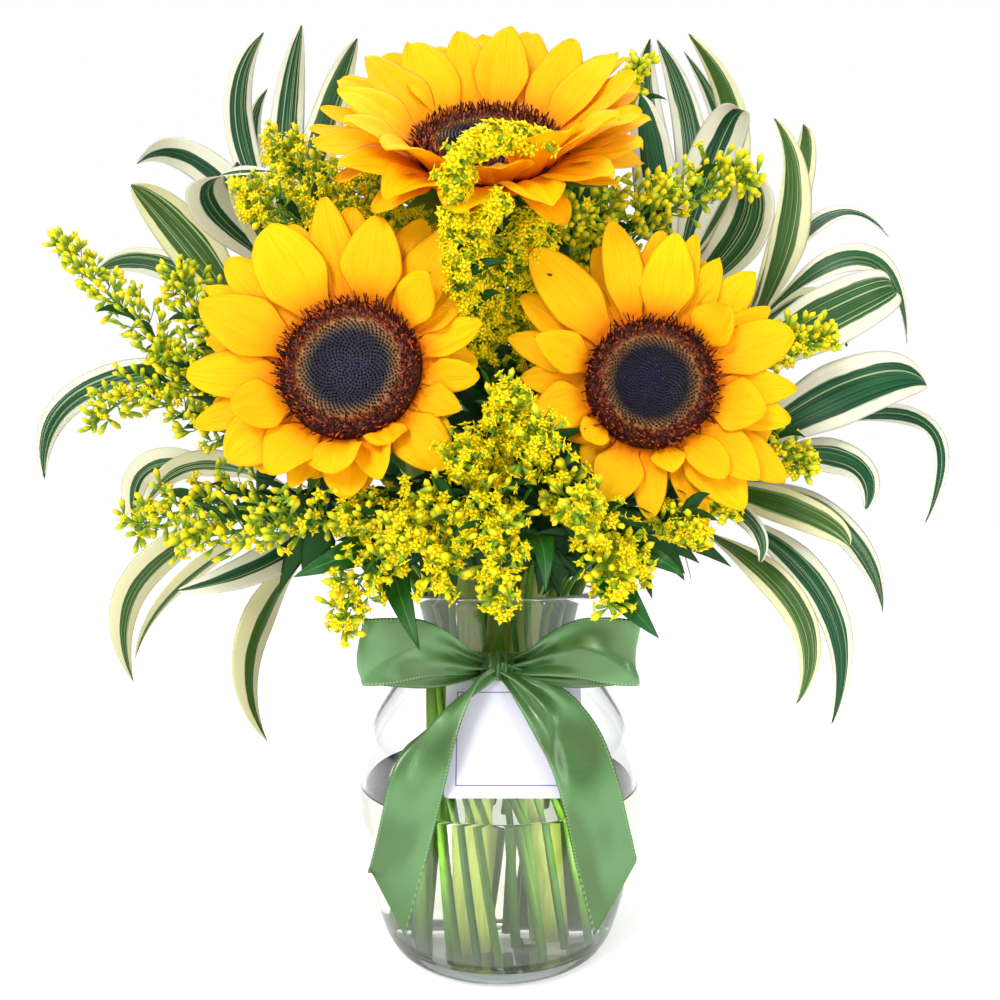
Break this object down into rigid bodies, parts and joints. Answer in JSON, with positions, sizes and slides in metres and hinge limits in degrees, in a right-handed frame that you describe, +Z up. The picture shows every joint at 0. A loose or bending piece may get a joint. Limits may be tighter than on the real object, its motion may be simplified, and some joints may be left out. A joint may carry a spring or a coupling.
{
  "type": "sunflowers in a vase",
  "caption": "Bouquet of sunflowers with goldenrod and striped leaves in a round glass vase of water, tied with a satin bow and a blank card.",
  "frame": {"origin": "centre of the underside of the vase's foot, on the surface it stands on", "axes": "+Z up; the front of the bouquet, with the bow and the card, faces -Y; +X is to the right as seen from the front"},
  "size_m": [0.4693, 0.2805, 0.461],
  "materials": {
    "glass": "clear and polished",
    "water": "clear water with a faint tint",
    "petal": "soft saturated yellow, orange at the base",
    "disc": "matt, nearly black with a red-brown rim",
    "flower_stem": "matt green",
    "striped_leaf": "satin green with cream margins",
    "goldenrod": "matt, bright yellow to yellow-green",
    "ruscus_leaf": "glossy dark green",
    "satin": "sage green satin",
    "card": "smooth white card with a thin violet frame"
  },
  "bodies": {
    "root": {"vase": "glass", "water": "water", "card": "card", "ribbon_band": "satin", "ribbon_knot": "satin", "ribbon_loop_left": "satin", "ribbon_loop_right": "satin", "ribbon_tail_left": "satin", "ribbon_tail_right": "satin", "sunflower_left_petals": "petal", "sunflower_left_disc": "disc", "sunflower_left_stem": "flower_stem", "sunflower_right_petals": "petal", "sunflower_right_disc": "disc", "sunflower_right_stem": "flower_stem", "sunflower_top_petals": "petal", "sunflower_top_disc": "disc", "sunflower_top_stem": "flower_stem", "dracaena_left_high": "striped_leaf", "dracaena_left_middle": "striped_leaf", "dracaena_left_low": "striped_leaf", "dracaena_right_high": "striped_leaf", "dracaena_right_middle": "striped_leaf", "dracaena_right_low": "striped_leaf", "dracaena_back_left": "striped_leaf", "dracaena_back_right": "striped_leaf", "ruscus_left": "ruscus_leaf", "ruscus_right": "ruscus_leaf", "ruscus_centre": "ruscus_leaf", "goldenrod_1": "goldenrod", "goldenrod_2": "goldenrod", "goldenrod_3": "goldenrod", "goldenrod_4": "goldenrod", "goldenrod_5": "goldenrod", "goldenrod_6": "goldenrod", "goldenrod_7": "goldenrod", "goldenrod_8": "goldenrod", "goldenrod_9": "goldenrod", "goldenrod_10": "goldenrod", "goldenrod_11": "goldenrod", "goldenrod_12": "goldenrod", "goldenrod_13": "goldenrod", "goldenrod_14": "goldenrod"}
  },
  "joints": []
}
